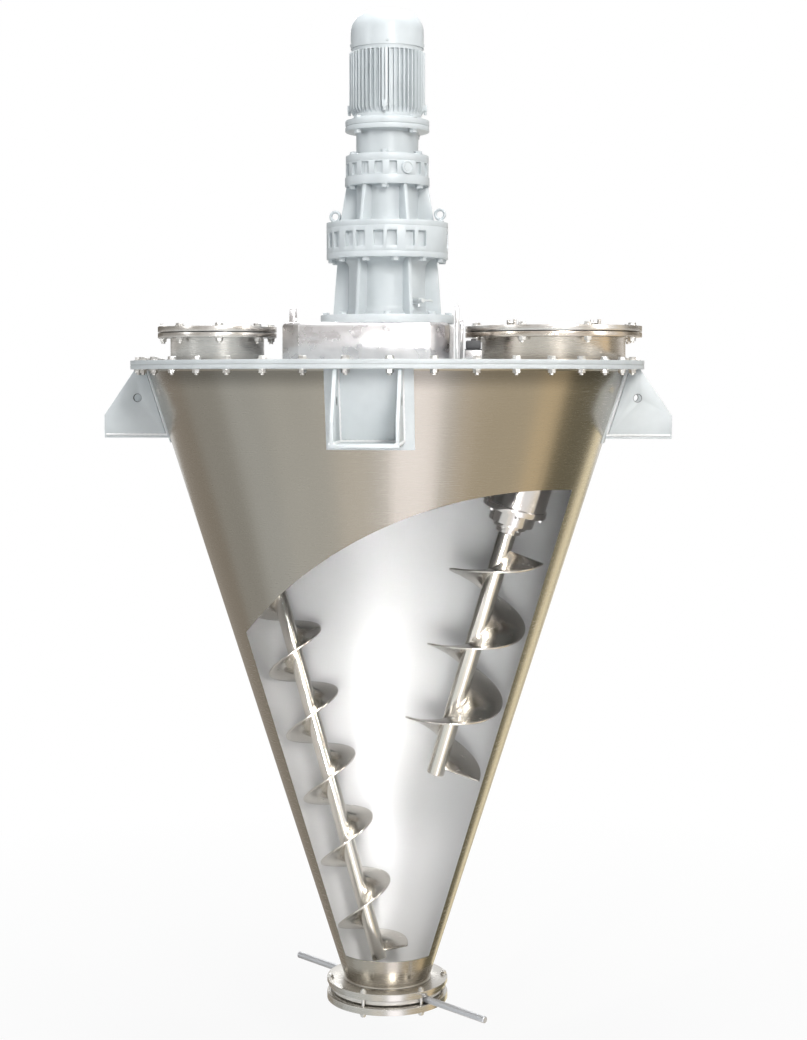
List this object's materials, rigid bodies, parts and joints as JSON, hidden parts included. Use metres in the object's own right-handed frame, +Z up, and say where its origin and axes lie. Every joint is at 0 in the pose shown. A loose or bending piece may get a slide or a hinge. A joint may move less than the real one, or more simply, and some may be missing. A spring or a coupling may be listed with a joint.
{
  "type": "conical screw mixer",
  "caption": "Conical powder mixer with a cutaway cone, an orbiting arm carrying two inclined screws, a stacked cycloid drive, a flanged lid and a petal discharge valve.",
  "frame": {"origin": "on the vertical axis of the cone, in the plane of the undersides of the support feet", "axes": "+Z up along the cone's axis towards the motor; +X towards the manway, -X towards the inlet nozzle; -Y towards the front with the cutaway"},
  "size_m": [2.058, 2.058, 3.654],
  "materials": {
    "cone_steel": "brushed",
    "painted": "satin",
    "drive_paint": "satin",
    "flight_steel": "worn",
    "bright_steel": "satin",
    "fastener_steel": "satin",
    "valve_steel": "satin",
    "gasket_rubber": "matte",
    "sight_brass": "satin",
    "fan_plastic": "matte"
  },
  "bodies": {
    "vessel": {"adapter_housing": "drive_paint", "bracket_feet": "painted", "bracket_gussets": "painted", "bracket_pads": "painted", "drain_cock": "sight_brass", "drive_bolts": "fastener_steel", "drive_nuts": "fastener_steel", "drive_platform": "painted", "fan_cowl": "drive_paint", "inlet_cover": "painted", "inlet_nozzle": "painted", "input_housing": "drive_paint", "interlock_block": "painted", "lid_bolt_heads": "fastener_steel", "lid_gasket": "gasket_rubber", "lid_nuts": "fastener_steel", "lid_plate": "painted", "lid_seal": "bright_steel", "lifting_eyes": "drive_paint", "lifting_lugs": "painted", "manway_cover": "painted", "manway_handles": "bright_steel", "manway_neck": "painted", "motor_bearings": "bright_steel", "motor_frame": "drive_paint", "motor_shield": "drive_paint", "nozzle_fasteners": "fastener_steel", "nozzle_gaskets": "gasket_rubber", "oil_sight": "sight_brass", "orbit_bearings": "bright_steel", "output_housing": "drive_paint", "small_ring": "drive_paint", "stage_ring": "drive_paint", "terminal_box": "drive_paint", "valve_body": "valve_steel", "valve_lower_flange": "valve_steel", "valve_studs": "fastener_steel", "vessel_cone": "cone_steel", "vessel_flange": "painted"},
    "swing_arm": {"orbit_shaft": "bright_steel", "centre_box": "bright_steel", "arm_bearings": "bright_steel", "short_arm_tube": "bright_steel", "long_arm_tube": "bright_steel", "short_screw_head": "bright_steel", "long_screw_head": "bright_steel", "screw_glands": "bright_steel", "gland_bolts": "fastener_steel"},
    "spin_shaft": {"spin_shaft": "bright_steel"},
    "short_cross": {"short_cross_shaft": "bright_steel"},
    "long_cross": {"long_cross_shaft": "bright_steel"},
    "short_screw": {"short_screw_shaft": "flight_steel", "short_screw_flight": "flight_steel"},
    "long_screw": {"long_screw_shaft": "flight_steel", "long_screw_flight": "flight_steel"},
    "motor_rotor": {"motor_rotor": "bright_steel", "motor_fan": "fan_plastic"},
    "valve_rotor": {"valve_plate": "valve_steel", "valve_handles": "valve_steel"},
    "drain_lever": {"drain_cock_lever": "sight_brass"}
  },
  "joints": [
    {"name": "arm_orbit", "type": "hinge", "parent": "vessel", "child": "swing_arm", "pos_m": [0, 0, 0.3], "axis": [0, 0, 1], "continuous": true},
    {"name": "spin_drive", "type": "hinge", "parent": "swing_arm", "child": "spin_shaft", "pos_m": [0, 0, 0.3], "axis": [0, 0, 1], "continuous": true},
    {"name": "short_cross_turn", "type": "hinge", "parent": "swing_arm", "child": "short_cross", "pos_m": [0, 0, 0.02], "axis": [0.9272, -0.3746, 0], "continuous": true},
    {"name": "long_cross_turn", "type": "hinge", "parent": "swing_arm", "child": "long_cross", "pos_m": [0, 0, 0.02], "axis": [-0.9272, 0.3746, 0], "continuous": true},
    {"name": "short_screw_turn", "type": "hinge", "parent": "swing_arm", "child": "short_screw", "pos_m": [0.54692, -0.22097, 0.02], "axis": [0.2775, -0.1121, 0.9542], "continuous": true},
    {"name": "long_screw_turn", "type": "hinge", "parent": "swing_arm", "child": "long_screw", "pos_m": [-0.6062, 0.24492, 0.02], "axis": [-0.2775, 0.1121, 0.9542], "continuous": true},
    {"name": "rotor_turn", "type": "hinge", "parent": "vessel", "child": "motor_rotor", "pos_m": [0, 0, 1.3], "axis": [0, 0, 1], "continuous": true},
    {"name": "valve_turn", "type": "hinge", "parent": "vessel", "child": "valve_rotor", "pos_m": [0, 0, -2.0645], "axis": [0, 0, 1], "range_deg": [0, 45]},
    {"name": "drain_cock_turn", "type": "hinge", "parent": "vessel", "child": "drain_lever", "pos_m": [0.10071, -0.09725, 0.494], "axis": [0.7193, -0.6947, 0], "range_deg": [0, 90]}
  ],
  "couplings": [
    {"joint": "spin_drive", "follows": "arm_orbit", "ratio": -12},
    {"joint": "short_cross_turn", "follows": "arm_orbit", "ratio": 12},
    {"joint": "long_cross_turn", "follows": "arm_orbit", "ratio": 12},
    {"joint": "short_screw_turn", "follows": "arm_orbit", "ratio": -12},
    {"joint": "long_screw_turn", "follows": "arm_orbit", "ratio": -12},
    {"joint": "rotor_turn", "follows": "arm_orbit", "ratio": 121}
  ]
}
